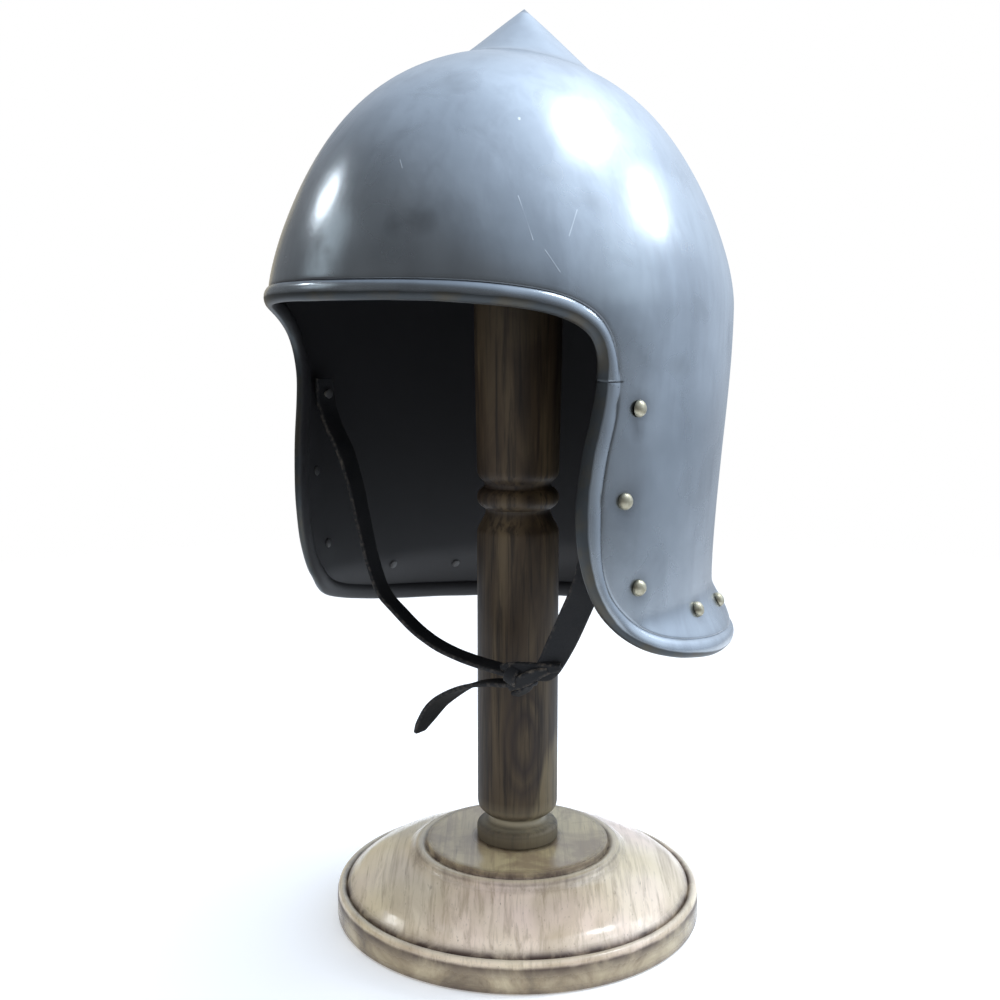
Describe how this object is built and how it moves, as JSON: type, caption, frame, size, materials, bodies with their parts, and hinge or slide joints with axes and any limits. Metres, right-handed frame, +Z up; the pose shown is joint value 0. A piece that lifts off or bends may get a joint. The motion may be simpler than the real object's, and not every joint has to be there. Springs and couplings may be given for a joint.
{
  "type": "knight helmet",
  "caption": "Open-faced steel knight helmet with pointed crown, rolled rim, rivets and knotted chin straps, on a turned wooden stand.",
  "frame": {"origin": "centre of the wooden base's underside, on the post's axis", "axes": "+Z up along the post, -Y is where the helmet's face opening looks, +X is the wearer's left"},
  "size_m": [0.202, 0.2514, 0.4288],
  "materials": {
    "steel": "polished plate steel with a soft sheen, fine hammer waves, faint scratches and smudges, black paint inside",
    "rivet_metal": "dull pale nickel-gold",
    "leather": "black strap leather, slightly worn",
    "base_wood": "limed beige wood with dark fine grain, glossy varnish",
    "post_wood": "dark grey-brown stained wood, satin",
    "zinc_steel": "bright zinc plate"
  },
  "bodies": {
    "stand": {"stand_base": "base_wood", "stand_post": "post_wood", "stand_head": "post_wood", "stand_bolt": "zinc_steel", "stand_dowel": "base_wood"},
    "helmet": {"helmet_shell": "steel", "rivet_left_strap": "rivet_metal", "rivet_left_cheek": "rivet_metal", "rivet_left_jaw": "rivet_metal", "rivet_left_side": "rivet_metal", "rivet_left_rear": "rivet_metal", "rivet_left_nape": "rivet_metal", "rivet_right_strap": "rivet_metal", "rivet_right_cheek": "rivet_metal", "rivet_right_jaw": "rivet_metal", "rivet_right_side": "rivet_metal", "rivet_right_rear": "rivet_metal", "rivet_right_nape": "rivet_metal", "rivet_back": "rivet_metal"},
    "chin_strap": {"strap_right": "leather", "strap_left": "leather", "strap_left_end": "leather", "strap_right_end": "leather", "strap_knot": "leather"}
  },
  "joints": [
    {"name": "helmet_lift", "type": "slide", "parent": "stand", "child": "helmet", "axis": [0, 0, 1], "range_m": [0, 0.35]},
    {"name": "strap_swing", "type": "hinge", "parent": "helmet", "child": "chin_strap", "pos_m": [0, -0.0426, 0.253], "axis": [-1, 0, 0], "range_deg": [-6, 38]}
  ]
}
